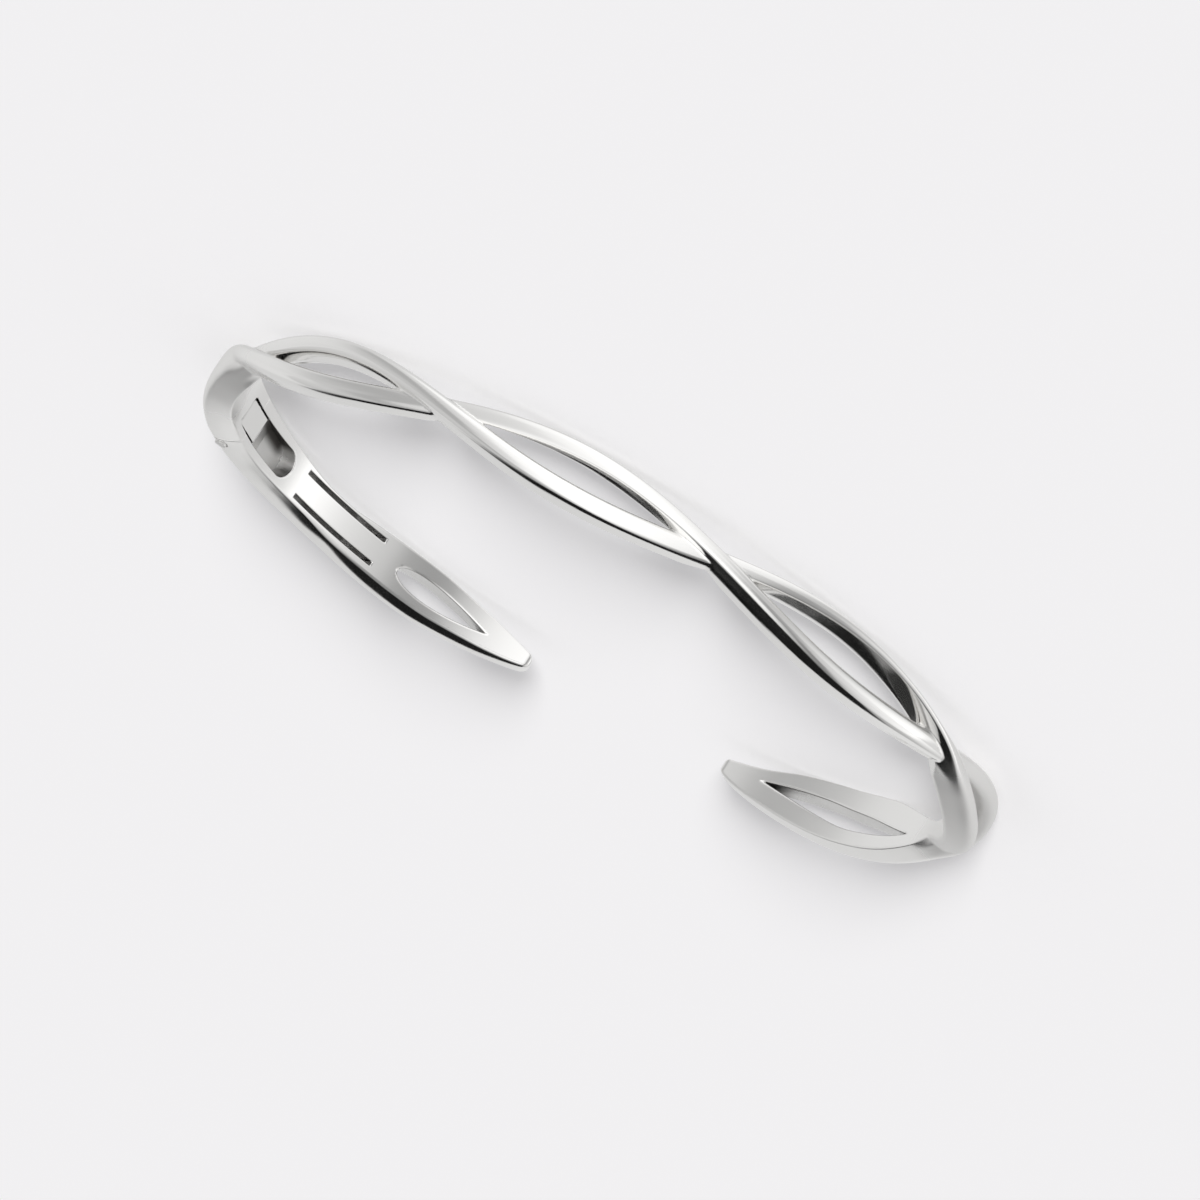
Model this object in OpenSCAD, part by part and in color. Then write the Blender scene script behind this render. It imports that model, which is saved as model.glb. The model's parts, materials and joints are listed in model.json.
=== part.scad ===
// Hinged silver bangle of two twisted strands, open at the front, lying on its side.
// Lengths are millimetres. A place on the bangle is given by s, the way along its inner
// oval from the plain end (+X) round the back (+Y), by v, the height from the middle of
// the band (+Z), and by r, the way out from the inner face.

/* [Oval] */
// Inside length of the oval, from the hinge end to the plain end
inner_l = 58; // [55:0.5:62]
// Inside width of the oval, across the two arms
inner_w = 47.8; // [45:0.5:52]
// Gap between the two tips, along the inside of the oval
mouth_w = 16.2; // [14:0.2:18]
// How far the middle of that gap lies towards the plain end
mouth_shift = 0.8; // [0:0.1:1.5]

/* [Twist] */
// Width of one strand
strand_w = 1.45; // [1.3:0.05:1.6]
// Height of a strand out from the inner face, halfway between two crossings
strand_t = 2.35; // [2.1:0.05:2.6]
// How much higher a strand stands where it passes over, and lower where it passes under
strand_rise = 0.35; // [0.1:0.05:0.45]
// Height of a strand's upright sides, below its rounded top
strand_side = 1.3; // [1:0.05:1.6]
// How far a strand swings to each side of the middle
strand_swing = 1.42; // [1.2:0.02:1.6]

/* [Block and arms] */
// Width of the solid block at the hinge end
block_w = 4.5; // [4.3:0.05:4.8]
// Thickness of that block
block_t = 2.55; // [2.4:0.05:2.8]
// Thickness of the plain end's arm
arm_t = 2.35; // [2.1:0.05:2.6]
// Greatest width of the opening in the plain end's arm
arm_gap_w = 1.5; // [1.2:0.05:1.8]
// Length of that opening
arm_gap_l = 15.8; // [12:0.2:17]
// Greatest width of the opening in the hinged arm
hinged_gap_w = 1.6; // [1.2:0.05:1.9]
// Length of that opening
hinged_gap_l = 8; // [6:0.2:9]

/* [Hinge] */
// Diameter of the pin
pin_d = 0.9; // [0.7:0.05:1]
// Gap all round the pin, in each of its bores
pin_gap = 0.03; // [0.02:0.01:0.06]
// Distance from the pin's middle to the seam, the tongue's end and the outer face
knuckle_r = 0.82; // [0.78:0.02:0.9]
// Gap between the two halves at the seam and round the knuckles
seam_gap = 0.08; // [0.05:0.01:0.12]
// How far the tongue and its pocket lie below the middle of the block
hinge_low = 0.22; // [0:0.02:0.3]
// Width of the tongue that reaches into the arm
tongue_w = 2; // [1.7:0.05:2.1]
// Width of the pocket that the tongue fits, and of the recess beyond it
pocket_w = 2.25; // [2.2:0.05:2.4]
// Distance from the pin back to the tongue's root
tongue_l = 3.1; // [2.6:0.1:3.6]
// Depth of the nick across the tongue, near its root
nick_d = 0.22; // [0.1:0.02:0.35]
// Length of the recess beyond the tongue
recess_l = 5.5; // [4:0.1:6]
// Depth of the recess below a straight line along the inner face at the pin
recess_d = 0.46; // [0.2:0.02:0.6]

/* [Spring slots] */
// Length of the two slots in the hinged arm
slot_l = 8.6; // [6:0.2:9]
// Width of each slot
slot_w = 0.34; // [0.25:0.05:0.45]
// Depth of each slot below the inner face, halfway along it
slot_d = 1.5; // [1:0.1:1.8]
// Distance between the slots' middles
slot_pitch = 2.06; // [1.9:0.02:2.2]
// How far that pair of slots lies below the middle of the arm
slot_low = 0.12; // [0:0.02:0.2]
// Distance from the pin to the slots' near ends
slot_from = 8; // [7.4:0.1:8.6]

/* [Hidden] */
$fn = 48;
silver = "#d9d8d6";

// Shape of a strand's rounded top, and of the plain stretches' outer face
strand_square = 2.6;
plain_square = 3.4;
// Height of a plain stretch's upright sides, as a share of its thickness
plain_side = 0.6;
// Points across the top of each half of a section, how strongly they crowd to its edges,
// and spacing of the sections
top_points = 9;
top_spread = 0.8;
section_step = 1.15;
// Slack for cuts that run past a face, and for faces that only touch
past = 0.6;
tiny = 0.001;
// Place of the pin, as a share of the way round the oval
pin_share = 0.522;
// Distance from each tip to the opening in its arm
plain_gap_in = 3.7;
hinged_gap_in = 4;
// How far the lip outside the tongue reaches over the pin, as a share of knuckle_r
lip_share = 0.6;
// Where the nick is deepest and where the slits end, as shares of tongue_l
nick_share = 0.76;
slit_share = 0.9;
// The recess's floor: its depth at the tongue's end, where it is deepest as a share of
// recess_l, and its depth at the far end as a share of recess_d
recess_near = 0.04;
recess_turn = 0.33;
recess_end = 0.55;

// Length round the oval, from a table of its arc length against its angle
half_l = inner_l / 2;
half_w = inner_w / 2;
function oval_at(a) = [half_l * cos(a), half_w * sin(a)];
arc_steps = 720;
arc_table = [for (i = 0, s = 0; i <= arc_steps;
    s = s + norm(oval_at((i + 1) * 360 / arc_steps) - oval_at(i * 360 / arc_steps)), i = i + 1)
    [s, i * 360 / arc_steps]];
round_l = arc_table[arc_steps][0];
function angle_at(s) = lookup(s < 0 ? s + round_l : s, arc_table);
function base_at(s) = oval_at(angle_at(s));
function out_at(s) = let (a = angle_at(s), n = [cos(a) / half_l, sin(a) / half_w]) n / norm(n);

// Smooth value at u from table rows, with the place in column 0 and the value in column c
function row_of(t, u, i = 0) = i >= len(t) - 2 || u < t[i + 1][0] ? i : row_of(t, u, i + 1);
function slope_at(t, c, i) = let (a = max(i - 1, 0), b = min(i + 1, len(t) - 1))
    (t[b][c] - t[a][c]) / (t[b][0] - t[a][0]);
function smooth_at(t, c, u) = let (
    i = row_of(t, u), d = t[i + 1][0] - t[i][0], q = min(max((u - t[i][0]) / d, 0), 1),
    m0 = slope_at(t, c, i) * d, m1 = slope_at(t, c, i + 1) * d)
    (2 * q * q * q - 3 * q * q + 1) * t[i][c] + (q * q * q - 2 * q * q + q) * m0
    + (3 * q * q - 2 * q * q * q) * t[i + 1][c] + (q * q * q - q * q) * m1;
function ease(u) = let (q = min(max(u, 0), 1)) q * q * (3 - 2 * q);

// The two tips, as places along the oval
mouth_middle = round_l * 3 / 4 + mouth_shift;
hinged_tip = mouth_middle - mouth_w / 2;
plain_tip = mouth_middle + mouth_w / 2 - round_l;

// Crossings of the two strands from the plain end's arm to the block.
// Columns: share of the way round the oval, and swing of the stretch after it as a
// share of strand_swing
PLACE = 0;
SWING = 1;
crossings = [[-0.0545, 0.95], [0.0575, 1.09], [0.1864, 0.995], [0.3111, 0.98], [0.4316, 0]];
last = len(crossings) - 1;
function cross_at(i) = crossings[i][PLACE] * round_l;
first_cross = cross_at(0);
last_cross = cross_at(last);

// The two plain stretches. Columns: share of the stretch; low and high edge of the inner
// face, high edge of the outer face and middle of the opening, as shares of half of
// block_w; and thickness as a share of block_t or arm_t. The low edge is the same outside
LOW = 1;
HIGH = 2;
OUT = 3;
MID = 4;
THICK = 5;
// From the plain end's tip to the first crossing
arm_rows = [
    [0, -0.4, 0.06, 0.07, -0.2, 0.7], [0.057, -0.47, 0.29, 0.3, -0.2, 0.76],
    [0.147, -0.62, 0.5, 0.52, -0.2, 0.84], [0.273, -0.91, 0.71, 0.73, -0.18, 0.93],
    [0.4, -1.02, 0.85, 0.87, -0.09, 0.98], [0.51, -1.03, 0.9, 0.92, 0.02, 1],
    [0.62, -1.03, 0.88, 0.9, 0.06, 1], [0.7, -0.98, 0.82, 0.84, 0.1, 1],
    [0.78, -0.82, 0.71, 0.73, 0.12, 1], [0.91, -0.5, 0.49, 0.5, 0.1, 1],
    [1, -0.32, 0.32, 0.32, 0, 1]];
// From the last crossing over the block to the hinged tip
block_rows = [
    [0, -0.32, 0.32, 0.32, 0, 0.94], [0.045, -0.51, 0.51, 0.51, 0, 0.97],
    [0.1, -0.7, 0.68, 0.7, 0, 0.99], [0.18, -0.9, 0.78, 0.9, 0, 1],
    [0.27, -1, 0.72, 1, 0, 1], [0.336, -0.99, 0.69, 0.98, 0, 1],
    [0.4, -0.945, 0.68, 0.955, 0, 1], [0.47, -0.85, 0.64, 0.91, 0, 0.99],
    [0.55, -0.7, 0.62, 0.87, 0, 0.98], [0.62, -0.69, 0.75, 0.88, 0, 0.97],
    [0.665, -0.78, 0.82, 0.92, 0, 0.96], [0.73, -0.86, 0.89, 0.955, 0, 0.95],
    [0.8, -0.87, 0.88, 0.93, 0, 0.91], [0.84, -0.8, 0.81, 0.85, 0, 0.88],
    [0.91, -0.61, 0.62, 0.66, 0, 0.82], [0.955, -0.44, 0.45, 0.48, 0, 0.77],
    [0.985, -0.3, 0.3, 0.33, 0, 0.72], [1, -0.2, 0.2, 0.21, 0, 0.68]];

// The opening in each arm. That of the hinged arm is round at one end, sharp at the other
plain_gap_from = plain_tip + plain_gap_in;
hinged_gap_to = hinged_tip - hinged_gap_in;
hinged_gap_from = hinged_gap_to - hinged_gap_l;
// The greatest value of sqrt(u) * (1 - u) is 1 over this
gap_peak = 3 * sqrt(3) / 2;
function plain_gap_at(s) = let (u = (s - plain_gap_from) / arm_gap_l)
    u <= 0 || u >= 1 ? 0 : arm_gap_w / 2 * sin(180 * u);
function hinged_gap_at(s) = let (u = (s - hinged_gap_from) / hinged_gap_l)
    u <= 0 || u >= 1 ? 0 : hinged_gap_w / 2 * gap_peak * sqrt(u) * (1 - u);

// The stretch that holds s, and how far along it s lies
function stretch_of(s, i = 0) = i >= last - 1 || s < cross_at(i + 1) ? i : stretch_of(s, i + 1);
function along(s, i) = (s - cross_at(i)) / (cross_at(i + 1) - cross_at(i));
function swing_at(s) = let (i = stretch_of(s))
    crossings[i][SWING] * strand_swing * sin(180 * min(max(along(s, i), 0), 1));

// Values of the section at s: an edge or the opening's middle, half the opening, and
// the thickness of a plain section
function edge_at(s, c) = s < first_cross
    ? block_w / 2 * smooth_at(arm_rows, c, (s - plain_tip) / (first_cross - plain_tip))
    : s < last_cross ? (c == MID ? 0 : (c == LOW ? -1 : 1) * (strand_w / 2 + swing_at(s)))
    : block_w / 2 * smooth_at(block_rows, c, (s - last_cross) / (hinged_tip - last_cross));
function gap_at(s) = s < first_cross ? plain_gap_at(s)
    : s < last_cross ? max(0, swing_at(s) - strand_w / 2) : hinged_gap_at(s);
function thick_at(s) = s < (first_cross + last_cross) / 2
    ? arm_t * smooth_at(arm_rows, THICK, (s - plain_tip) / (first_cross - plain_tip))
    : block_t * smooth_at(block_rows, THICK, (s - last_cross) / (hinged_tip - last_cross));

// How plain a section is: 0 where the strands show, 1 on the block and the arms
blend_l = 2.6;
function plain_at(s) = s < (first_cross + last_cross) / 2
    ? ease((first_cross - s) / blend_l) : ease((s - last_cross) / blend_l);

// Outer height of one strand, of both, and of a whole section
function top_of(x, t, side, m) = abs(x) > 1 + tiny ? 0
    : side + (t - side) * pow(max(0, 1 - pow(min(abs(x), 1), m)), 1 / m);
function strand_top(s, v, way) = let (
    i = stretch_of(s), turn = 180 * (i + along(s, i)),
    mid = -way * swing_at(s) * (i % 2 == 0 ? 1 : -1))
    top_of((v - mid) / (strand_w / 2), strand_t + way * strand_rise * cos(turn),
        strand_side, strand_square);
function twist_top(s, v) = let (q = min(max(s, first_cross), last_cross))
    max(strand_top(q, v, 1), strand_top(q, v, -1));
function plain_top(s, v) = let (t = thick_at(s), a = edge_at(s, LOW), b = edge_at(s, OUT))
    top_of((2 * v - a - b) / (b - a), t, t * plain_side, plain_square);
function top_at(s, v) = let (k = plain_at(s))
    (k < 1 ? (1 - k) * twist_top(s, v) : 0) + (k > 0 ? k * plain_top(s, v) : 0);

// One half of a section, on the side of way: its inner face, its upright side and its
// top, from the outer edge to the gap or the middle
half_points = top_points + 2;
function spread(q) = let (c = cos(180 * q)) (1 + sign(c) * pow(abs(c), top_spread)) / 2;
function half_section(s, way) = let (
    inner = edge_at(s, way > 0 ? HIGH : LOW), outer = edge_at(s, way > 0 ? OUT : LOW),
    gap = edge_at(s, MID) + way * gap_at(s))
    concat([[gap, 0], [inner, 0]],
        [for (k = [0 : top_points - 1])
            let (v = gap + (outer - gap) * spread(k / (top_points - 1))) [v, top_at(s, v)]]);
function place(s, p) = let (b = base_at(s), n = out_at(s)) [b.x + n.x * p.y, b.y + n.y * p.y, p.x];

// Sections from a to b, about section_step apart, or closer towards a where tight is set
function steps(a, b, tight = false) = let (n = max(1, round((b - a) / section_step)))
    [for (i = [0 : n - 1]) a + (b - a) * (tight ? pow(i / n, 2) : i / n)];
function close_share(i) = asin(min(1, strand_w / 2 / (crossings[i][SWING] * strand_swing))) / 180;
function stretch_steps(i) = let (
    a = cross_at(i), b = cross_at(i + 1), c = close_share(i) * (b - a))
    concat(steps(a, a + c), steps(a + c, b - c), steps(b - c, b));

// The skin of the solid through the sections at the places listed
module skin(places) {
    count = len(places);
    ring = 2 * half_points;
    open = [for (s = places) gap_at(s) > tiny];
    points = [for (s = places) each concat(
        [for (p = half_section(s, 1)) place(s, p)], [for (p = half_section(s, -1)) place(s, p)])];
    // The two halves share their first and last point where there is no gap
    function at(i, h, j) = i * ring + (h == 1 && (open[i] || (j > 0 && j < half_points - 1))
        ? half_points : 0) + j;
    function flip(f, h) = h == 0 ? f : [for (k = [len(f) - 1 : -1 : 0]) f[k]];
    strips = [for (i = [0 : count - 2], h = [0, 1], j = [0 : half_points - 2])
        each [flip([at(i, h, j), at(i + 1, h, j), at(i + 1, h, j + 1)], h),
              flip([at(i, h, j), at(i + 1, h, j + 1), at(i, h, j + 1)], h)]];
    e = half_points - 1;
    walls = [for (i = [0 : count - 2], h = [0, 1]) if (open[i] || open[i + 1])
        each [flip([at(i, h, e), at(i + 1, h, e), at(i + 1, h, 0)], h),
              flip([at(i, h, e), at(i + 1, h, 0), at(i, h, 0)], h)]];
    caps = [for (i = [0, count - 1], h = [0, 1], j = [1 : e - 1])
        flip([at(i, h, 0), at(i, h, j), at(i, h, j + 1)], i == 0 ? h : 1 - h)];
    polyhedron(points, concat(strips, walls, caps), convexity = 10);
}

// The hinge's pin, as a place along the oval and a way out from the inner face
pin_at = round_l * pin_share;
pin_out = thick_at(pin_at) - knuckle_r;
reach = 2 * knuckle_r;

band_places = concat(steps(plain_tip, plain_gap_from),
    steps(plain_gap_from, plain_gap_from + arm_gap_l),
    steps(plain_gap_from + arm_gap_l, first_cross),
    [for (i = [0 : last - 1]) each stretch_steps(i)],
    steps(last_cross, pin_at + reach), [pin_at + reach]);
arm_places = concat(steps(pin_at - reach, hinged_gap_from),
    steps(hinged_gap_from, hinged_gap_to, true),
    steps(hinged_gap_to, hinged_tip), [hinged_tip]);

// The middle of the whole bangle's box, which is the origin, and its lowest point
outer = [for (s = concat(band_places, arm_places), way = [-1, 1], p = half_section(s, way))
    place(s, p)];
box_x = (max([for (p = outer) p.x]) + min([for (p = outer) p.x])) / 2;
box_y = (max([for (p = outer) p.y]) + min([for (p = outer) p.y])) / 2;
rest_z = -min([for (p = outer) p.z]);

module lie() {
    translate([-box_x, -box_y, rest_z]) children();
}

// Axes at a place on the inner face: X runs along the oval towards the hinged tip, Y out
module at_place(s) {
    n = out_at(s);
    b = base_at(s);
    translate([b.x, b.y, 0]) rotate(atan2(n.y, n.x) - 90) rotate([0, 180, 0]) children();
}

// The same axes with their origin at the middle of the pin
module at_pin() {
    at_place(pin_at) translate([0, pin_out, hinge_low]) children();
}

// A flat shape in those axes, extruded over the height w, centred
module across(w) {
    translate([0, 0, -w / 2]) linear_extrude(w) children();
}

// How far the curved inner face falls inwards at x along those axes
end_r = half_w * half_w / half_l;
function fall(x) = x * x / (2 * end_r);

// Flat shapes at the pin: all that lies inwards of it from x to x1, and the same outwards
module inwards(x, x1) {
    translate([x, -pin_out - past]) square([x1 - x, pin_out + past]);
}
module outwards(x, x1) {
    translate([x, -tiny]) square([x1 - x, knuckle_r + past]);
}

module bore() {
    cylinder(h = block_w + 2 * past, d = pin_d + 2 * pin_gap, center = true);
}

// Room for the arm's cheeks beside the tongue; the lip over it is trimmed outside
module cheek_room() {
    h = block_w / 2 + past;
    for (way = [-1, 1]) translate([0, 0, way * (tongue_w + h) / 2]) across(h) union() {
        circle(knuckle_r + seam_gap);
        inwards(-knuckle_r - seam_gap, reach + past);
        outwards(-lip_share * knuckle_r, reach + past);
    }
}

// What is cut off beyond the tongue's end, which is round outside and square inside
module beyond_tongue() {
    across(tongue_w + past) difference() {
        union() {
            inwards(0, reach + past);
            outwards(0, reach + past);
        }
        circle(knuckle_r);
        translate([-past, -pin_out - 2 * past]) square([knuckle_r + past, pin_out + 2 * past]);
    }
}

// The shallow nick across the tongue's inner face, as wide as the middles of the slits
module nick() {
    deep = tongue_l * nick_share;
    across((tongue_w + pocket_w) / 2) polygon([
        [-tongue_l, -pin_out - past], [-tongue_l, -pin_out - fall(tongue_l)],
        [-deep, -pin_out - fall(deep) + nick_d],
        [knuckle_r + past, -pin_out - fall(knuckle_r)], [knuckle_r + past, -pin_out - past]]);
}

// The slits that free the tongue from the band on both sides
module slits() {
    w = (pocket_w - tongue_w) / 2;
    for (way = [-1, 1]) translate([-tongue_l * slit_share, -pin_out - past,
        way * (tongue_w + w) / 2 - w / 2])
        cube([tongue_l, block_t + 2 * past, w]);
}

module band() {
    color(silver) lie() difference() {
        skin(band_places);
        at_pin() {
            cheek_room();
            beyond_tongue();
            nick();
            slits();
            bore();
        }
    }
}

// What is cut off the arm's cheeks before the pin, round outside and square inside
module before_cheeks() {
    across(block_w + 2 * past) difference() {
        union() {
            inwards(-2 * reach, 0);
            outwards(-2 * reach, 0);
        }
        circle(knuckle_r);
        translate([-knuckle_r, -pin_out - 2 * past]) square([2 * reach, pin_out + 2 * past]);
    }
}

// The tongue's room between the cheeks
module pocket() {
    across(pocket_w) union() {
        circle(knuckle_r + seam_gap);
        inwards(-reach, knuckle_r + seam_gap);
        outwards(-reach, 0);
    }
}

// The recess beyond the tongue, with a round far end and a floor that slopes
module recess() {
    from = knuckle_r;
    to = from + recess_l;
    intersection() {
        across(pocket_w) polygon([
            [from, -pin_out - 2 * past], [from, -pin_out + recess_near],
            [from + recess_l * recess_turn, -pin_out + recess_d],
            [to, -pin_out + recess_d * recess_end], [to, -pin_out - 2 * past]]);
        rotate([90, 0, 0]) translate([0, 0, -knuckle_r]) linear_extrude(pin_out + 3 * past) union() {
            translate([0, -pocket_w]) square([to - pocket_w / 2, 2 * pocket_w]);
            translate([to - pocket_w / 2, 0]) circle(d = pocket_w);
        }
    }
}

module spring_slots() {
    middle = slot_from + slot_l / 2;
    at_place(pin_at + middle) for (way = [-1, 1])
        translate([-slot_l / 2, -past, slot_low + way * slot_pitch / 2 - slot_w / 2])
            cube([slot_l, past + slot_d, slot_w]);
}

module arm() {
    color(silver) lie() difference() {
        skin(arm_places);
        at_pin() {
            before_cheeks();
            pocket();
            recess();
            bore();
        }
        spring_slots();
    }
}

// The pin ends flush with the two cheeks
module hinge_pin() {
    low = edge_at(pin_at, LOW);
    color(silver) lie() at_place(pin_at) translate([0, pin_out, -edge_at(pin_at, OUT)])
        cylinder(h = edge_at(pin_at, OUT) - low, d = pin_d);
}

band();
arm();
hinge_pin();
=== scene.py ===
"""A hinged silver bangle of two twisted strands: its looks, floor, light and camera.

The shape functions work in millimetres. A place on the bangle is s, the way along its
inner oval from the plain end round the back, v, the height from the middle of the band,
and r, the way out from the inner face. A field is below zero inside the metal, and near
the surface it is close to the distance from it.
"""

import json
import math

import bpy
import numpy as np
from mathutils import Matrix, Vector


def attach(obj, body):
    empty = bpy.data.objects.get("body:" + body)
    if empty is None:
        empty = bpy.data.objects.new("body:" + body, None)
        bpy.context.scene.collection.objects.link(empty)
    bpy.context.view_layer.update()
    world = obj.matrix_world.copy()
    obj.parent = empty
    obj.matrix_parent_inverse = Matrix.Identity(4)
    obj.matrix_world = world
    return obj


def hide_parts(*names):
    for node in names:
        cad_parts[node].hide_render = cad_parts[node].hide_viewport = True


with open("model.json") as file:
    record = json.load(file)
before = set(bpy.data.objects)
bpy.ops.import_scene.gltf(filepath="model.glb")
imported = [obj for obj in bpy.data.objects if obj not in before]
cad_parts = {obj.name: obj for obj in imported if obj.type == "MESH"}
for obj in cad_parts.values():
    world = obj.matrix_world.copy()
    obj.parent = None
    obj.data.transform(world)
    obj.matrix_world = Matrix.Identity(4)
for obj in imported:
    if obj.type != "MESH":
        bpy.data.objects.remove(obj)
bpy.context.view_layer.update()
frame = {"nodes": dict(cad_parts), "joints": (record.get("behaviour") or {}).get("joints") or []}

MM = 0.001

# The oval, the twist and the plain stretches, as in the part's source
INNER_L, INNER_W = 58.0, 47.8
MOUTH_W, MOUTH_SHIFT = 16.2, 0.8
STRAND_W, STRAND_T, STRAND_RISE = 1.45, 2.35, 0.35
STRAND_SIDE, STRAND_SWING, STRAND_SQUARE = 1.3, 1.42, 2.6
BLOCK_W, BLOCK_T, ARM_T = 4.5, 2.55, 2.35
PLAIN_SQUARE, PLAIN_SIDE = 3.4, 0.6
BLEND_L = 2.6

# Crossings of the strands: share of the way round, swing of the stretch after it
CROSSINGS = [(-0.0545, 0.95), (0.0575, 1.09), (0.1864, 0.995), (0.3111, 0.98), (0.4316, 0.0)]

# Plain stretches: share of the stretch, low and high edge of the inner face, high edge of
# the outer face and middle of the opening as shares of half the block, thickness share
LOW, HIGH, OUT, MIDDLE, THICK = 1, 2, 3, 4, 5
ARM_ROWS = [
    (0, -0.4, 0.06, 0.07, -0.2, 0.7), (0.057, -0.47, 0.29, 0.3, -0.2, 0.76),
    (0.147, -0.62, 0.5, 0.52, -0.2, 0.84), (0.273, -0.91, 0.71, 0.73, -0.18, 0.93),
    (0.4, -1.02, 0.85, 0.87, -0.09, 0.98), (0.51, -1.03, 0.9, 0.92, 0.02, 1),
    (0.62, -1.03, 0.88, 0.9, 0.06, 1), (0.7, -0.98, 0.82, 0.84, 0.1, 1),
    (0.78, -0.82, 0.71, 0.73, 0.12, 1), (0.91, -0.5, 0.49, 0.5, 0.1, 1),
    (1, -0.32, 0.32, 0.32, 0, 1),
]
BLOCK_ROWS = [
    (0, -0.32, 0.32, 0.32, 0, 0.94), (0.045, -0.51, 0.51, 0.51, 0, 0.97),
    (0.1, -0.7, 0.68, 0.7, 0, 0.99), (0.18, -0.9, 0.78, 0.9, 0, 1),
    (0.27, -1, 0.72, 1, 0, 1), (0.336, -0.99, 0.69, 0.98, 0, 1),
    (0.4, -0.945, 0.68, 0.955, 0, 1), (0.47, -0.85, 0.64, 0.91, 0, 0.99),
    (0.55, -0.7, 0.62, 0.87, 0, 0.98), (0.62, -0.69, 0.75, 0.88, 0, 0.97),
    (0.665, -0.78, 0.82, 0.92, 0, 0.96), (0.73, -0.86, 0.89, 0.955, 0, 0.95),
    (0.8, -0.87, 0.88, 0.93, 0, 0.91), (0.84, -0.8, 0.81, 0.85, 0, 0.88),
    (0.91, -0.61, 0.62, 0.66, 0, 0.82), (0.955, -0.44, 0.45, 0.48, 0, 0.77),
    (0.985, -0.3, 0.3, 0.33, 0, 0.72), (1, -0.2, 0.2, 0.21, 0, 0.68),
]

# The openings in the two arms, from their tips, and their greatest width
ARM_GAP_FROM, ARM_GAP_L, ARM_GAP_W = 3.7, 15.8, 1.5
HINGED_GAP_TO, HINGED_GAP_L, HINGED_GAP_W = 4.0, 8.0, 1.6
HINGED_GAP_PEAK = 2.598

# The hinge
PIN_SHARE, PIN_D, PIN_GAP = 0.522, 0.9, 0.03
KNUCKLE_R, SEAM_GAP, HINGE_LOW, LIP_SHARE = 0.82, 0.08, 0.22, 0.6
TONGUE_W, POCKET_W, TONGUE_L = 2.0, 2.25, 3.1
NICK_D, NICK_SHARE, SLIT_SHARE, TONGUE_END_SIDE = 0.22, 0.76, 0.9, 0.3
RECESS_L, RECESS_D = 5.5, 0.46
# The recess's depth beside the tongue, where it is deepest, and its depth at its far end
RECESS_START, RECESS_PEAK_SHARE, RECESS_END_SHARE = 0.04, 0.33, 0.55
SLOT_L, SLOT_W, SLOT_D, SLOT_PITCH, SLOT_LOW, SLOT_FROM = 8.6, 0.34, 1.5, 2.06, 0.12, 8.0
FAR = 3.0

# Radii of the soft edges
RIM, CROSSING_EDGE, CUT_EDGE, OPENING_EDGE, TIP_EDGE = 0.16, 0.1, 0.07, 0.2, 0.5
FINE_CUT_EDGE, BORE_EDGE = 0.04, 0.03
# The edge of a plain stretch's upper side, and how much softer it gets as that side leans
WALL_EDGE, WALL_EDGE_LEAN = 0.03, 0.6
# How much softer the hinged arm's inner edge gets on its upper side, how far before the tip
# that begins, and the lengths over which it comes, goes and fades out downwards
SOFT_EDGE, SOFT_FROM, SOFT_EASE_IN, SOFT_EASE_OUT, SOFT_RISE = 0.3, 24, 12, 9, 0.6
# The facet along that edge: (s, how far in from the upper side it begins), and its slope
RIM_FACET = [(86, -3), (96, -0.6), (100.5, 0.08), (105, 0.36), (111, 0.36), (117.6, 0.1)]
RIM_FACET_TURN = math.radians(67)
# The strands' facet on the upper side: its edges' softness, and where its lower edge lies
# across the strand. Then the slope of the undercuts, the r where the lower side's begins,
# and how far off the strand an undercut lies where there is none
FACET_EDGE, FACET_X = 0.16, 0.71
UNDERCUT_TURN, UNDERSIDE_R, UNDERCUT_AWAY = math.radians(26), 1.5, 0.9
# For each strand: s, r of the facet's lower edge, how much of the side below it is
# undercut, how much of the lower side is, and the facet's slope in degrees
EDGE_R, UNDERCUT, UNDERSIDE, SLOPE = 1, 2, 3, 4
FACET_ROWS = {
    -1: [(7.5, 2.4, 0, 0, 72), (10, 1.2, 1, 0, 72), (13, 0.75, 1, 0, 73), (20, 0.6, 1, 0, 73),
         (25, 0.6, 1, 0, 73), (30, 1.0, 1, 0, 73), (34, 1.7, 0, 1, 71), (41, 1.8, 0, 1, 71),
         (46, 2.1, 0, 1, 71), (52, 2.7, 0, 0, 71)],
    1: [(6, 2.7, 0, 0, 68), (12, 1.75, 0, 0.8, 68), (16, 1.65, 0, 1, 68), (20, 1.6, 0, 1, 68),
        (24, 1.45, 0, 1, 68), (28, 1.45, 0, 0.6, 69), (33, 1.35, 1, 0, 73), (38, 1.45, 1, 0, 74),
        (43, 1.65, 1, 0, 74), (48, 2, 1, 0, 74), (53, 2.6, 0, 0, 74)],
}
# Where one strand is narrower on its lower side, and by how much
NARROW_FROM, NARROW_EASE_IN, NARROW_TO, NARROW_EASE_OUT, NARROWER = 8.5, 4.5, 26.0, 11.0, 0.36
# Least values of a bar's field and slope, deep inside the metal
LEAST_FIELD, LEAST_SLOPE = 0.05, 0.3


class Oval:
    """The inner oval: its length round, and its axes at a place."""

    def __init__(self, length, width):
        self.a, self.b = length / 2, width / 2
        self.turn = np.linspace(0, 2 * math.pi, 14401)
        x, y = self.a * np.cos(self.turn), self.b * np.sin(self.turn)
        self.arc = np.concatenate([[0], np.cumsum(np.hypot(np.diff(x), np.diff(y)))])
        self.round = self.arc[-1]

    def axes(self, s):
        """Point on the oval, the way out, and the curvature, each at every s."""
        t = np.interp(np.mod(s, self.round), self.arc, self.turn)
        c, d = np.cos(t), np.sin(t)
        out = np.array([c / self.a, d / self.b])
        speed = np.hypot(self.a * d, self.b * c)
        return np.array([self.a * c, self.b * d]), out / np.hypot(*out), self.a * self.b / speed**3


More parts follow.
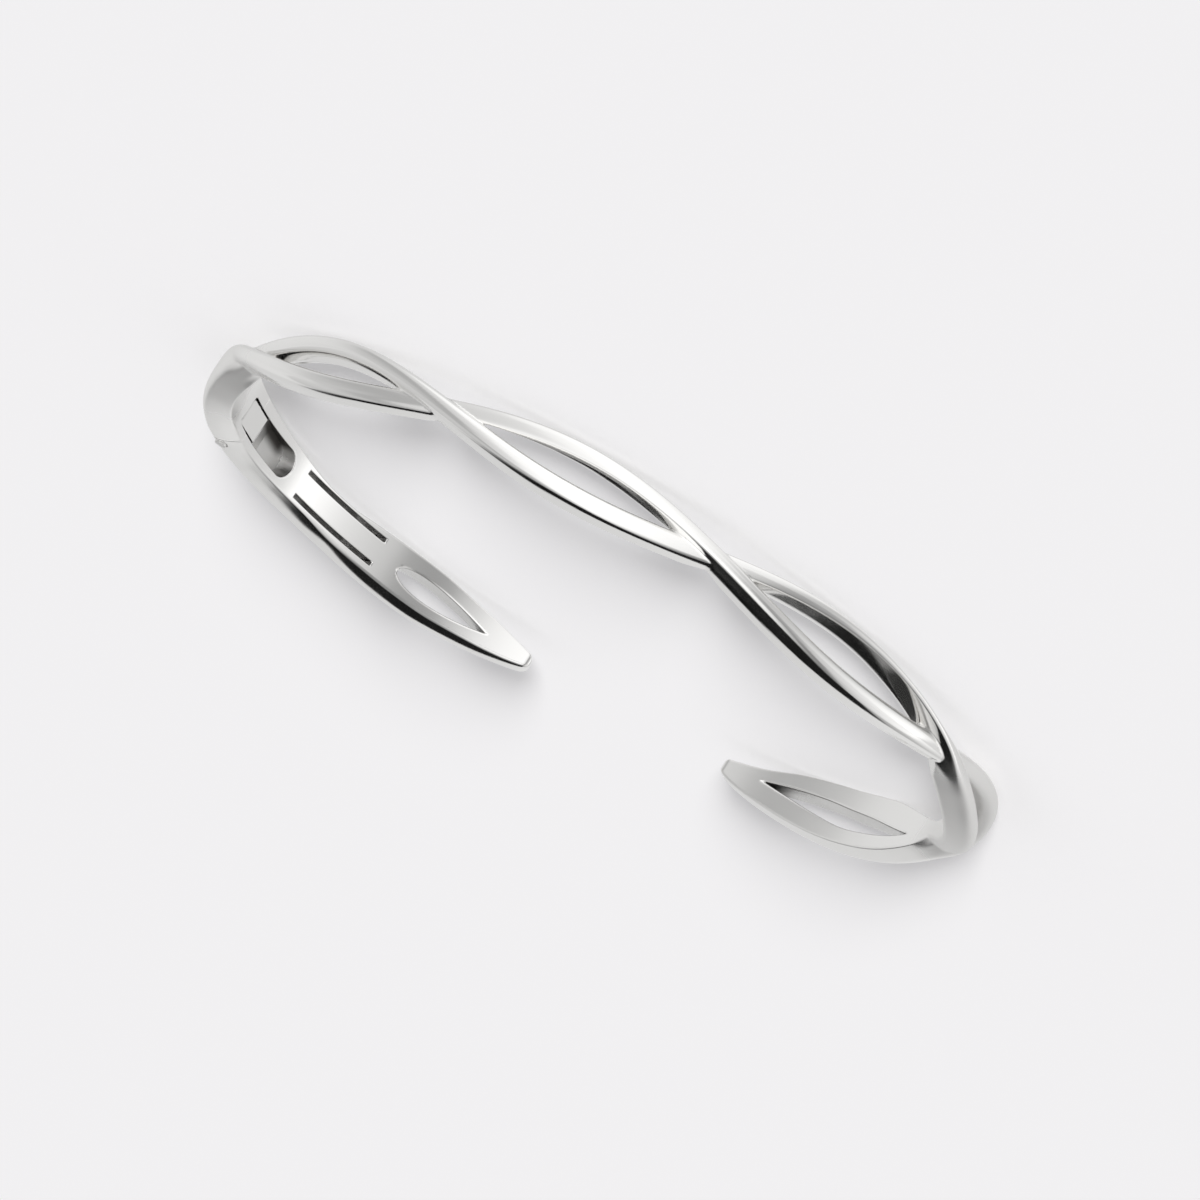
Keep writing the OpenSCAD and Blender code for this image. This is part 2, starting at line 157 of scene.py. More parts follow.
oval = Oval(INNER_L, INNER_W)
mouth = oval.round * 0.75 + MOUTH_SHIFT
hinged_tip = mouth - MOUTH_W / 2
plain_tip = mouth + MOUTH_W / 2 - oval.round
cross = np.array([c[0] for c in CROSSINGS]) * oval.round
first, last = cross[0], cross[-1]


def ease(u):
    q = np.clip(u, 0, 1)
    return q * q * (3 - 2 * q)


def smooth(rows, column, u):
    """Value of a column at u, on a smooth curve through the rows."""
    t = np.array(rows)
    x, y = t[:, 0], t[:, column]
    slope = np.empty_like(y)
    slope[1:-1] = (y[2:] - y[:-2]) / (x[2:] - x[:-2])
    slope[0] = (y[1] - y[0]) / (x[1] - x[0])
    slope[-1] = (y[-1] - y[-2]) / (x[-1] - x[-2])
    i = np.clip(np.searchsorted(x, u, "right") - 1, 0, len(x) - 2)
    d = x[i + 1] - x[i]
    q = np.clip((u - x[i]) / d, 0, 1)
    a, b = 2 * q**3 - 3 * q**2 + 1, q**3 - 2 * q**2 + q
    c, e = 3 * q**2 - 2 * q**3, q**3 - q**2
    return a * y[i] + b * d * slope[i] + c * y[i + 1] + e * d * slope[i + 1]


def plain(s, column, scale=BLOCK_W / 2):
    """A column of the plain stretch that s lies on or is nearest to."""
    arm = smooth(ARM_ROWS, column, (s - plain_tip) / (first - plain_tip))
    block = smooth(BLOCK_ROWS, column, (s - last) / (hinged_tip - last))
    if column == THICK:
        return np.where(s < 0, ARM_T * arm, BLOCK_T * block)
    return scale * np.where(s < 0, arm, block)


def either(a, b, k):
    """Union of two fields, with a fillet about k wide."""
    h = np.maximum(k - abs(a - b), 0) / k
    return np.minimum(a, b) - h * h * k / 4


def both(a, b, k):
    """Intersection of two fields, with an edge about k wide."""
    return -either(-a, -b, k)


def cut(a, b, k=CUT_EDGE):
    """Field a without what is inside b."""
    return both(a, -b, k)


def bar(x, half, r, side, top, square):
    """A bar on the inner face with upright sides up to side and a rounded top."""
    across, up = abs(x) / half, np.maximum((r - side) / (top - side), 0)
    g = np.maximum((across**square + up**square) ** (1 / square), LEAST_FIELD)
    slope = g ** (1 - square) * np.hypot(
        across ** (square - 1) / half, up ** (square - 1) / (top - side)
    )
    return (g - 1) / np.maximum(slope, LEAST_SLOPE)


def strand(s, v, r, way):
    """One strand, which runs on beyond the outer crossings towards the arm and block."""
    i = np.clip(np.searchsorted(cross, s, "right") - 1, 0, len(cross) - 2)
    u = (s - cross[i]) / (cross[i + 1] - cross[i])
    swing = np.array([c[1] for c in CROSSINGS])[i] * STRAND_SWING * np.sin(
        math.pi * np.clip(u, 0, 1)
    )
    mid = way * np.where(i % 2 == 0, -swing, swing)
    over = way * np.where(s < first, 1, -1)
    beyond = np.where(
        over > 0,
        np.maximum(plain(s, OUT) - STRAND_W / 2, 0),
        np.minimum(plain(s, LOW) + STRAND_W / 2, 0),
    )
    mid = np.where((s < first) | (s > last), beyond, mid)
    top = STRAND_T + way * STRAND_RISE * np.cos(math.pi * (i + np.clip(u, -0.5, 1.5)))
    x, half = v - mid, STRAND_W / 2
    if way < 0:
        narrow = ease((s - NARROW_FROM) / NARROW_EASE_IN) * ease((NARROW_TO - s) / NARROW_EASE_OUT)
        x = np.where(x < 0, x * half / (half - NARROWER * narrow), x)
    body = bar(x, half, r, STRAND_SIDE, top, STRAND_SQUARE)
    rows = FACET_ROWS[way]
    rise, turn = r - smooth(rows, EDGE_R, s), np.radians(smooth(rows, SLOPE, s))
    facet = (x - FACET_X) * np.sin(turn) + rise * np.cos(turn)
    body = both(body, facet, FACET_EDGE)
    for side, up, column in ((1, rise, UNDERCUT), (-1, r - UNDERSIDE_R, UNDERSIDE)):
        slant = (side * x - FACET_X) * math.cos(UNDERCUT_TURN) - up * math.sin(UNDERCUT_TURN)
        share = np.clip(smooth(rows, column, s), 0, 1)
        body = both(body, slant - (1 - share) * UNDERCUT_AWAY, FACET_EDGE / 2)
    return body


def plain_section(s, v, r):
    """A plain stretch: a bar whose upper side leans in towards the inner face."""
    low, high, out, top = (plain(s, c) for c in (LOW, HIGH, OUT, THICK))
    side = PLAIN_SIDE * top
    solid = bar(v - (low + out) / 2, (out - low) / 2, r, side, top, PLAIN_SQUARE)
    lean = out - high
    wall = ((v - high) * side - r * lean) / np.hypot(side, lean)
    return both(solid, wall, WALL_EDGE + WALL_EDGE_LEAN * np.maximum(lean, 0))


def opening(s, v, start, length, half):
    """The opening in an arm. half gives half its width as a share of the way along."""
    u, step = (s - start) / length, 0.002
    at = half(np.clip(u, 0, 1))
    slope = (half(np.clip(u + step, 0, 1)) - half(np.clip(u - step, 0, 1))) / (2 * step * length)
    aside = abs(v - plain(s, MIDDLE))
    inside = (aside - at) / np.hypot(1, slope)
    ends = np.maximum(-u, u - 1) * length
    return np.where(ends > 0, np.hypot(np.maximum(ends, 0), aside), inside)


def plain_half(u):
    return ARM_GAP_W / 2 * np.sin(math.pi * u)


def hinged_half(u):
    return HINGED_GAP_W / 2 * HINGED_GAP_PEAK * np.sqrt(np.maximum(u, 0)) * (1 - u)


def skin(s, v, r):
    """The whole bangle, before the hinge's cuts."""
    twist = either(strand(s, v, r, 1), strand(s, v, r, -1), CROSSING_EDGE)
    k = np.where(s < 0, ease((first - s) / BLEND_L), ease((s - last) / BLEND_L))
    body = np.where(k < 1, (1 - k) * twist, 0) + k * plain_section(s, v, r)
    soft = ease((s - hinged_tip + SOFT_FROM) / SOFT_EASE_IN)
    soft = soft * ease((hinged_tip - s) / SOFT_EASE_OUT) * ease(v / SOFT_RISE)
    body = both(body, -r, RIM + SOFT_EDGE * soft)
    aside = v - plain(s, HIGH) + smooth(RIM_FACET, 1, s)
    facet = aside * math.sin(RIM_FACET_TURN) - r * math.cos(RIM_FACET_TURN)
    body = both(body, facet, FACET_EDGE)
    body = cut(body, opening(s, v, plain_tip + ARM_GAP_FROM, ARM_GAP_L, plain_half), OPENING_EDGE)
    gap_from = hinged_tip - HINGED_GAP_TO - HINGED_GAP_L
    body = cut(body, opening(s, v, gap_from, HINGED_GAP_L, hinged_half), OPENING_EDGE)
    return both(both(body, plain_tip - s, TIP_EDGE), s - hinged_tip, TIP_EDGE)


pin_at = oval.round * PIN_SHARE
pin_out = float(plain(np.array([pin_at]), THICK)[0]) - KNUCKLE_R
reach = 2 * KNUCKLE_R


def local(s, r, origin, up=0.0):
    """Places in the flat axes at a place on the oval: along it towards the tip, and out."""
    base, out, _ = oval.axes(s)
    at, n, _ = oval.axes(origin)
    x, y = base[0] + out[0] * r - at[0], base[1] + out[1] * r - at[1]
    return -x * n[1] + y * n[0], x * n[0] + y * n[1] - up


def box(x, y, x0, x1, y0, y1):
    return np.maximum(np.maximum(x0 - x, x - x1), np.maximum(y0 - y, y - y1))


def fall(x):
    """How far the curved inner face falls inwards of a straight line at x."""
    return x * x / (2 * oval.b**2 / oval.a)


def bore(x, y):
    return np.hypot(x, y) - PIN_D / 2 - PIN_GAP


def band_field(s, v, r):
    """The band with its tongue, the nick and slits beside it, and the pin's bore."""
    x, y = local(s, r, pin_at, pin_out)
    z = -v - HINGE_LOW
    floor = -pin_out - FAR
    body = both(skin(s, v, r), s - pin_at - reach, CUT_EDGE)
    round_it = np.hypot(x, y) - KNUCKLE_R
    cheeks = np.minimum(
        np.minimum(round_it - SEAM_GAP, box(x, y, -KNUCKLE_R - SEAM_GAP, FAR, floor, 0)),
        box(x, y, -LIP_SHARE * KNUCKLE_R, FAR, 0, FAR),
    )
    body = cut(body, both(cheeks, TONGUE_W / 2 - abs(z), CUT_EDGE))
    beyond = np.maximum(-round_it, -np.maximum(x - KNUCKLE_R, y))
    beyond = np.maximum(beyond, box(x, y, 0, FAR, floor, FAR))
    body = cut(body, np.maximum(beyond, abs(z) - TONGUE_W / 2 - TONGUE_END_SIDE))
    nick_x = np.array([-TONGUE_L, -NICK_SHARE * TONGUE_L, KNUCKLE_R + FAR])
    nick_y = -pin_out - fall(np.array([TONGUE_L, NICK_SHARE * TONGUE_L, KNUCKLE_R]))
    nick_y[1] += NICK_D
    nick = np.maximum(y - np.interp(x, nick_x, nick_y), box(x, y, -TONGUE_L, FAR, floor, 0))
    body = cut(body, np.maximum(nick, abs(z) - TONGUE_W / 2), FINE_CUT_EDGE)
    slit_w = (POCKET_W - TONGUE_W) / 2
    slit = abs(abs(z) - TONGUE_W / 2 - slit_w / 2) - slit_w / 2
    slit_to = (1 - SLIT_SHARE) * TONGUE_L
    slit = np.maximum(slit, box(x, y, -SLIT_SHARE * TONGUE_L, slit_to, floor, FAR))
    body = cut(body, slit, FINE_CUT_EDGE)
    return cut(body, bore(x, y), BORE_EDGE)


def arm_field(s, v, r):
    """The hinged arm with its pocket, the recess, the two slots and the pin's bore."""
    x, y = local(s, r, pin_at, pin_out)
    z = -v - HINGE_LOW
    floor = -pin_out - FAR
    body = both(skin(s, v, r), pin_at - reach - s, CUT_EDGE)
    round_it = np.hypot(x, y) - KNUCKLE_R
    before = np.maximum(-round_it, -np.maximum(-KNUCKLE_R - x, y))
    body = cut(body, np.maximum(before, box(x, y, -FAR, 0, floor, FAR)))
    pocket = np.minimum(
        np.minimum(round_it - SEAM_GAP, box(x, y, -FAR, KNUCKLE_R + SEAM_GAP, floor, 0)),
        box(x, y, -FAR, 0, 0, FAR),
    )
    body = cut(body, np.maximum(pocket, abs(z) - POCKET_W / 2))
    recess_to = KNUCKLE_R + RECESS_L
    recess_x = np.array([KNUCKLE_R, KNUCKLE_R + RECESS_PEAK_SHARE * RECESS_L, recess_to])
    recess_y = -pin_out + np.array([RECESS_START, RECESS_D, RECESS_END_SHARE * RECESS_D])
    end_x = recess_to - POCKET_W / 2
    plan = np.where(x > end_x, np.hypot(x - end_x, z), abs(z)) - POCKET_W / 2
    recess = np.maximum(y - np.interp(x, recess_x, recess_y), np.maximum(plan, KNUCKLE_R - x))
    body = cut(body, recess)
    across, up = local(s, r, pin_at + SLOT_FROM + SLOT_L / 2)
    beside = abs(abs(-v - SLOT_LOW) - SLOT_PITCH / 2) - SLOT_W / 2
    slots = np.maximum(np.maximum(beside, abs(across) - SLOT_L / 2), up - SLOT_D)
    body = cut(body, slots)
    return cut(body, bore(x, y), BORE_EDGE)


def lines(*stretches):
    """Grid lines from (start, end, step) stretches that follow on one another."""
    parts = [np.arange(a, b - step / 3, step) for a, b, step in stretches]
    return np.append(np.concatenate(parts), stretches[-1][1])


def net(field, grid):
    """A mesh of quads on the field's surface: one point in each grid cell that it crosses."""
    values = field(grid[0][:, None, None], grid[1][None, :, None], grid[2][None, None, :])
    inside = values < 0
    cells = tuple(n - 1 for n in values.shape)
    total, count = np.zeros((np.prod(cells), 3)), np.zeros(np.prod(cells))
    edges = []
    for axis in range(3):
        near = tuple(slice(None, -1) if a == axis else slice(None) for a in range(3))
        far = tuple(slice(1, None) if a == axis else slice(None) for a in range(3))
        at = np.argwhere(inside[near] != inside[far])
        step = np.eye(3, dtype=int)[axis]
        a, b = values[tuple(at.T)], values[tuple((at + step).T)]
        where = np.array([grid[d][at[:, d]] for d in range(3)]).T
        ahead = grid[axis][at[:, axis] + 1]
        where[:, axis] += (a / (a - b)) * (ahead - where[:, axis])
        others = [d for d in range(3) if d != axis]
        around = []
        for p, q in ((-1, -1), (0, -1), (0, 0), (-1, 0)):
            cell = at.copy()
            cell[:, others[0]] += p
            cell[:, others[1]] += q
            fits = np.all((cell >= 0) & (cell < np.array(cells)), axis=1)
            held = np.clip(cell, 0, np.array(cells) - 1)
            index = np.where(fits, np.ravel_multi_index(held.T, cells), -1)
            np.add.at(total, index[fits], where[fits])
            np.add.at(count, index[fits], 1)
            around.append(index)
        quads = np.array(around).T
        turned = (a < 0) == (axis != 1)
        quads = np.where(turned[:, None], quads, quads[:, ::-1])
        edges.append(quads[np.all(quads >= 0, axis=1)])
    used = np.flatnonzero(count)
    number = np.full(len(count), -1)
    number[used] = np.arange(len(used))
    return total[used] / count[used, None], number[np.concatenate(edges)]


def slope_of(field, p, step=0.015):
    """Slope of the field at points, in millimetres along the oval, up and out."""
    steps = step * np.eye(3)
    g = np.array([field(*(p + d).T) - field(*(p - d).T) for d in steps]).T / (2 * step)
    _, _, bend = oval.axes(p[:, 0])
    g[:, 0] /= 1 + bend * p[:, 2]
    return g


def seat(field, p, rounds=3, most=0.05, least=0.05):
    """Moves points onto the field's surface, by no more than most each round."""
    for _ in range(rounds):
        g = slope_of(field, p)
        move = -field(*p.T)[:, None] * g / np.maximum((g**2).sum(1, keepdims=True), least)
        p = p + np.clip(move, -most, most)
    return p


def in_file(p, g):
    """Places and surface directions in the file's frame."""
    base, out, _ = oval.axes(p[:, 0])
    turned = np.array([-out[1], out[0]])
    xy = base + out * p[:, 2]
    normal = np.array([*(turned * g[:, 0] + out * g[:, 2]), g[:, 1]]).T
    return np.array([*xy, p[:, 1]]).T, normal / np.linalg.norm(normal, axis=1, keepdims=True)


pin_base, pin_side, _ = oval.axes(pin_at)
pin_place = np.array([*(pin_base + pin_side * pin_out), 0.0])
file_shift = np.array(frame["joints"][0]["pos_m"]) / MM - pin_place


# How bright the polish is: (s, share), less at the first crossing and round the hinge
POLISH = [(-13, 0.85), (-8, 0.1), (-1, 0), (6, 0), (9.5, 1), (67, 1), (72, 0.25), (78, 0.25),
          (83, 0.75), (92, 0.75), (98, 1)]


def metal_piece(name, field, grid, node, body, rough_and_shade):
    """A piece of the bangle from its field. Its last argument gives where its metal is left
    rough and painted dark as painted shade.
    """
    places, quads = net(field, grid)
    places = seat(field, places)
    points, normals = in_file(places, slope_of(field, places))
    points = (points + file_shift) * MM
    mesh = bpy.data.meshes.new(name)
    mesh.from_pydata(points.tolist(), [], quads.tolist())
    mesh.update()
    mesh.shade_smooth()
    mesh.normals_split_custom_set_from_vertices(normals.tolist())
    along = mesh.attributes.new("place", "FLOAT_VECTOR", "POINT")
    along.data.foreach_set("vector", places.astype(np.float32).ravel())
    polish = np.interp(places[:, 0], *zip(*POLISH))
    # Where the metal is rough and painted with shade, and how well it is polished
    for kind, values in (("rough_and_shade", rough_and_shade(*places.T)), ("polish", polish)):
        attribute = mesh.attributes.new(kind, "FLOAT", "POINT")
        attribute.data.foreach_set("value", values.astype(np.float32))
    piece = bpy.data.objects.new(name, mesh)
    bpy.context.scene.collection.objects.link(piece)
    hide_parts(node)
    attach(piece, body)
    return piece


# Rough metal painted dark as painted shade, from 0, polished and unshaded, to 1, rough
# and painted near black. On the openings' walls: how rough and dark, how near the wall, and
# over what r it comes in. At the ends of the plain arm's opening, more painted shade: how much
# more, how far from the end at the tip and at the back, and the back's share
WALL_SHADE, WALL_NEAR, WALL_RISE = 0.26, 0.12, 0.2
END_SHADE, TIP_END_L, BACK_END_L, BACK_END_SHARE = 0.6, 2.5, 1.5, 0.6
# Painted shade and rough metal in the recess: over all of it, on its lower side, and as a painted
# shadow in a crease across it
RECESS_SHADE, SIDE_SHADE, CREASE_SHADOW = 0.3, 0.7, 0.9
# Where it comes in: from what r on and over what r, how near the recess's sides and ends,
# and up to what r
DEEP_FROM, DEEP_RISE, DEEP_NEAR, DEEP_PAST, DEEP_TO = 0.03, 0.08, 0.05, 0.1, 1.2
# The lower side's shade: how far above the tongue's middle it begins and how far it grows,
# and how far before the recess's end it stops and over what length
SIDE_FROM, SIDE_GROW, SIDE_STOP, SIDE_EASE = 0.1, 0.9, 0.2, 1.2
# The crease's painted shadow: how far before that end it lies, half its width, and where it begins
# and grows
CREASE_BACK, CREASE_HALF, CREASE_FROM, CREASE_GROW = 1.6, 0.4, 0.2, 0.8
# In the slots, rough metal painted dark as painted shade: how rough and dark, how near the sides
# and ends, from what r on, and how far past them
SLOT_SHADE, SLOT_NEAR, SLOT_PAST, SLOT_R, SLOT_BELOW = 0.5, 0.04, 0.05, 0.06, 0.1


def shaded_wall(s, v, r, start, length, half):
    """One on the walls of an opening, where painted shade goes, and zero away from them and on the
    inner face.
    """
    wall = abs(opening(s, v, start, length, half))
    return (1 - ease(wall / WALL_NEAR)) * ease(r / WALL_RISE)


def band_rough_and_shade(s, v, r):
    """Painted shade and rough metal on the plain arm's opening walls, darkest at both ends."""
    start = plain_tip + ARM_GAP_FROM
    # Painted shade, darkest at the opening's two ends
    ends = ease(1 - (s - start) / TIP_END_L)
    ends = ends + BACK_END_SHARE * ease(1 - (start + ARM_GAP_L - s) / BACK_END_L)
    share = WALL_SHADE + END_SHADE * np.clip(ends, 0, 1)
    return share * shaded_wall(s, v, r, start, ARM_GAP_L, plain_half)


def recess_rough_and_shade(s, v, r):
    """Rough metal and painted shade in the recess, the painted shade darkest on its lower
    side and in a crease across it.
    """
    x, _ = local(s, r, pin_at, pin_out)
    z = -v - HINGE_LOW
    end = KNUCKLE_R + RECESS_L
    deep = ease((r - DEEP_FROM) / DEEP_RISE)
    deep = deep * ease((POCKET_W / 2 + DEEP_NEAR - abs(z)) / DEEP_NEAR)
    deep = deep * (x > KNUCKLE_R - DEEP_PAST) * (x < end + DEEP_PAST) * (r < DEEP_TO)
    # Painted shade, darker towards the recess's lower side and fading before its far end
    side = ease((z + SIDE_FROM) / SIDE_GROW) * ease((end - SIDE_STOP - x) / SIDE_EASE)
    # A painted shadow in a crease across the recess, near its far end
    crease = ease(1 - abs(x - end + CREASE_BACK) / CREASE_HALF)
    crease = crease * ease((z + CREASE_FROM) / CREASE_GROW)
    return deep * np.maximum(RECESS_SHADE + SIDE_SHADE * side, CREASE_SHADOW * crease)


def slots_rough_and_shade(s, v, r):
    """Rough metal painted dark as painted shade in the two slots."""
    across, _ = local(s, r, pin_at + SLOT_FROM + SLOT_L / 2)
    beside = abs(abs(-v - SLOT_LOW) - SLOT_PITCH / 2) < SLOT_W / 2 + SLOT_NEAR
    within = (abs(across) < SLOT_L / 2 + SLOT_PAST) & (r > SLOT_R) & (r < SLOT_D + SLOT_BELOW)
    return SLOT_SHADE * (beside & within)


def arm_rough_and_shade(s, v, r):
    """Rough metal and painted shade in the recess, in the slots and on the walls of the opening."""
    gap_from = hinged_tip - HINGED_GAP_TO - HINGED_GAP_L
    wall = WALL_SHADE * shaded_wall(s, v, r, gap_from, HINGED_GAP_L, hinged_half)
    return np.maximum(np.maximum(recess_rough_and_shade(s, v, r), slots_rough_and_shade(s, v, r)), wall)


# The silver. Colours where it is polished, and where it is rough and painted dark as painted shade
SILVER, SHADED_ROUGH_SILVER = (0.9, 0.895, 0.885, 1), (0.08, 0.075, 0.07, 1)
# Polishing lines to a millimetre along the bangle, up and out, and how deep they look
LINES_SCALE, LINES_DEPTH, LINES_STRENGTH = (0.22, 16.0, 16.0), 0.006, 0.35
GRAIN_DEPTH = 0.05
# Least and greatest roughness without the polish, what the polish takes from it, and what
# rough metal adds
ROUGH_LEAST, ROUGH_MOST, POLISH_TAKES, ROUGH_ADDS = 0.5, 0.57, -0.43, 0.3


def node_of(tree, kind, place, **values):
    """A new node at a place in the tree's picture, with values for its inputs."""
    n = tree.nodes.new(kind)
    n.location = place
    for name, value in values.items():
        n.inputs[name.replace("_", " ")].default_value = value
    return n


def silver():
    """Polished silver with fine polishing lines along the strands, and rough hollows
    painted dark as painted shade.
    """
    m = bpy.data.materials.new("polished_silver")
    m.use_nodes = True
    tree = m.node_tree
    tree.nodes.clear()
    link = tree.links.new
    out = tree.nodes.new("ShaderNodeOutputMaterial")
    shader = node_of(tree, "ShaderNodeBsdfPrincipled", (-300, 0), Metallic=1.0)
    link(shader.outputs["BSDF"], out.inputs["Surface"])

    def attribute(name):
        n = tree.nodes.new("ShaderNodeAttribute")
        n.attribute_name = name
        return n

    def noise(vector, place, **values):
        n = node_of(tree, "ShaderNodeTexNoise", place, **values)
        link(vector, n.inputs["Vector"])
        return n.outputs["Fac"]

    def times_and_add(value, factor, more, place):
        n = node_of(tree, "ShaderNodeMath", place)
        n.operation = "MULTIPLY_ADD"
        n.inputs[1].default_value = factor
        link(value, n.inputs[0])
        link(more, n.inputs[2])
        return n.outputs["Value"]

    place = attribute("place").outputs["Vector"]
    rough_and_shade = attribute("rough_and_shade").outputs["Fac"]
    polish = attribute("polish").outputs["Fac"]
    stretch = node_of(tree, "ShaderNodeMapping", (-1400, 0), Scale=LINES_SCALE)
    link(place, stretch.inputs["Vector"])
    brushed = noise(stretch.outputs["Vector"], (-1200, 0), Scale=1.0, Detail=3.0, Roughness=0.6)
    grain = noise(place, (-1200, -300), Scale=9.0, Detail=4.0, Roughness=0.65)
    cloud = noise(place, (-1200, -600), Scale=0.35, Detail=2.0)

    # Where the metal is rough its colour is painted near black, as painted shade in the openings,
    # recess and slots
    colour = node_of(tree, "ShaderNodeMix", (-600, 200))
    colour.data_type = "RGBA"
    colour.inputs["A"].default_value = SILVER
    colour.inputs["B"].default_value = SHADED_ROUGH_SILVER
    link(rough_and_shade, colour.inputs["Factor"])
    link(colour.outputs["Result"], shader.inputs["Base Color"])

    gloss = node_of(
        tree, "ShaderNodeMapRange", (-1000, -200),
        From_Min=0.3, From_Max=0.7, To_Min=ROUGH_LEAST, To_Max=ROUGH_MOST,
    )
    link(cloud, gloss.inputs["Value"])
    soft = times_and_add(polish, POLISH_TAKES, gloss.outputs["Result"], (-800, -200))
    link(times_and_add(rough_and_shade, ROUGH_ADDS, soft, (-600, -200)), shader.inputs["Roughness"])

    fine = node_of(
        tree, "ShaderNodeBump", (-800, -500), Strength=LINES_STRENGTH, Distance=LINES_DEPTH * MM
    )
    link(brushed, fine.inputs["Height"])
    coarse = node_of(tree, "ShaderNodeBump", (-600, -500), Distance=GRAIN_DEPTH * MM)
    link(rough_and_shade, coarse.inputs["Strength"])
    link(grain, coarse.inputs["Height"])
    link(fine.outputs["Normal"], coarse.inputs["Normal"])
    link(coarse.outputs["Normal"], shader.inputs["Normal"])
    return m


# The nets' grids: how far they reach past the tips, the inner face, the edges and the outer
# faces, and their steps up and out. Along the bangle they are finer at the tips and the hinge
PAST_TIP, PAST_INNER = 0.3, 0.12
BAND_HALF, BAND_FAR, BAND_UP = 2.6, 3.0, 0.085
ARM_HALF, ARM_FAR, ARM_UP = 2.5, 2.9, 0.07
GRID_OUT, GRID_SLIT = 0.08, 0.03


def band_grid():
    """Grid lines along, up and out for the band, with some more at the tongue's slits."""
    tip_to, hinge_from = plain_tip + 2.5, pin_at - 4
    along = lines((plain_tip - PAST_TIP, tip_to, 0.1), (tip_to, hinge_from, 0.36),
                  (hinge_from, pin_at + reach + PAST_TIP, 0.09))
    slit = lines((TONGUE_W / 2 - GRID_SLIT, POCKET_W / 2 + GRID_SLIT, GRID_SLIT))
    level = lines((-BAND_HALF, BAND_HALF, BAND_UP))
    level = np.unique(np.concatenate([level, -HINGE_LOW + slit, -HINGE_LOW - slit]))
    return along, level, lines((-PAST_INNER, BAND_FAR, GRID_OUT))


def arm_grid():
    """Grid lines along, up and out for the hinged arm."""
    recess_to, tip_from = pin_at + 8, hinged_tip - 2
    along = lines((pin_at - 2, recess_to, 0.08), (recess_to, tip_from, 0.15),
                  (tip_from, hinged_tip + PAST_TIP, 0.1))
    level = lines((-ARM_HALF, ARM_HALF, ARM_UP))
    return along, level, lines((-PAST_INNER, ARM_FAR, GRID_OUT))


band = metal_piece("twisted_band", band_field, band_grid(), "band", "band", band_rough_and_shade)
arm = metal_piece("hinged_arm", arm_field, arm_grid(), "arm", "arm", arm_rough_and_shade)
metal = silver()
for piece in (band, arm, frame["nodes"]["hinge_pin"]):
    piece.data.materials.clear()
    piece.data.materials.append(metal)


# The floor, in metres
FLOOR_HALF, FLOOR_COLOUR, FLOOR_ROUGHNESS = 4.0, (0.878, 0.872, 0.878, 1), 0.9


def pale_floor():
    """A plain matt floor. The metal doesn't reflect it."""
    m = bpy.data.materials.new("pale_floor")
    m.use_nodes = True
    shader = m.node_tree.nodes["Principled BSDF"]
    shader.inputs["Base Color"].default_value = FLOOR_COLOUR
    shader.inputs["Roughness"].default_value = FLOOR_ROUGHNESS
    shader.inputs["Specular IOR Level"].default_value = 0.0
    corners = [(x * FLOOR_HALF, y * FLOOR_HALF, 0) for x, y in ((-1, -1), (1, -1), (1, 1), (-1, 1))]
    mesh = bpy.data.meshes.new("floor")
    mesh.from_pydata(corners, [], [(0, 1, 2, 3)])
    mesh.materials.append(m)
    piece = bpy.data.objects.new("floor", mesh)
    bpy.context.scene.collection.objects.link(piece)
    piece.visible_glossy = False


pale_floor()

# The camera as fitted to the photograph. Its place is from the middle of the oval, in
# millimetres, along its own axes
CAM_AZ, CAM_EL, CAM_ROLL = (math.radians(x) for x in (166.508, 15.049, 212.744))
CAM_FAR, CAM_RIGHT, CAM_UP = 466.0, 0.2382, 0.2295
SENSOR, LENS = 36.0, 201.05
CLIP_NEAR, CLIP_FAR = 0.01, 20

back = Vector((
    math.sin(CAM_AZ) * math.cos(CAM_EL),
    -math.cos(CAM_AZ) * math.cos(CAM_EL),
    math.sin(CAM_EL),
))
level = (-back).cross(Vector((0, 0, 1))).normalized()
rise = level.cross(-back)
right = math.cos(CAM_ROLL) * level + math.sin(CAM_ROLL) * rise
up = -math.sin(CAM_ROLL) * level + math.cos(CAM_ROLL) * rise
lens = bpy.data.cameras.new("camera")
lens.sensor_width, lens.lens = SENSOR, LENS
lens.clip_start, lens.clip_end = CLIP_NEAR, CLIP_FAR
camera = bpy.data.objects.new("camera", lens)
bpy.context.scene.collection.objects.link(camera)
spot = (Vector(file_shift) + CAM_RIGHT * right + CAM_UP * up + CAM_FAR * back) * MM
camera.matrix_world = Matrix.Translation(spot) @ Matrix((right, up, back)).transposed().to_4x4()
bpy.context.scene.camera = camera

# The light tent that the metal reflects: a white strip with a black flag along one side.
# Its directions are given by lat, degrees across the strip, and lon, degrees along it
TENT_TURN = math.radians(-25)
GREY, WHITE = 0.72, 1.12
TENT_COLOUR = (1.0, 0.998, 0.995, 1)
# The even light for the rest
ROOM, ROOM_COLOUR = 0.61, (0.995, 0.99, 1.0, 1)
# Light that another part of the metal mirrors first has a glossy depth above this
FIRST_BOUNCE = 1.5

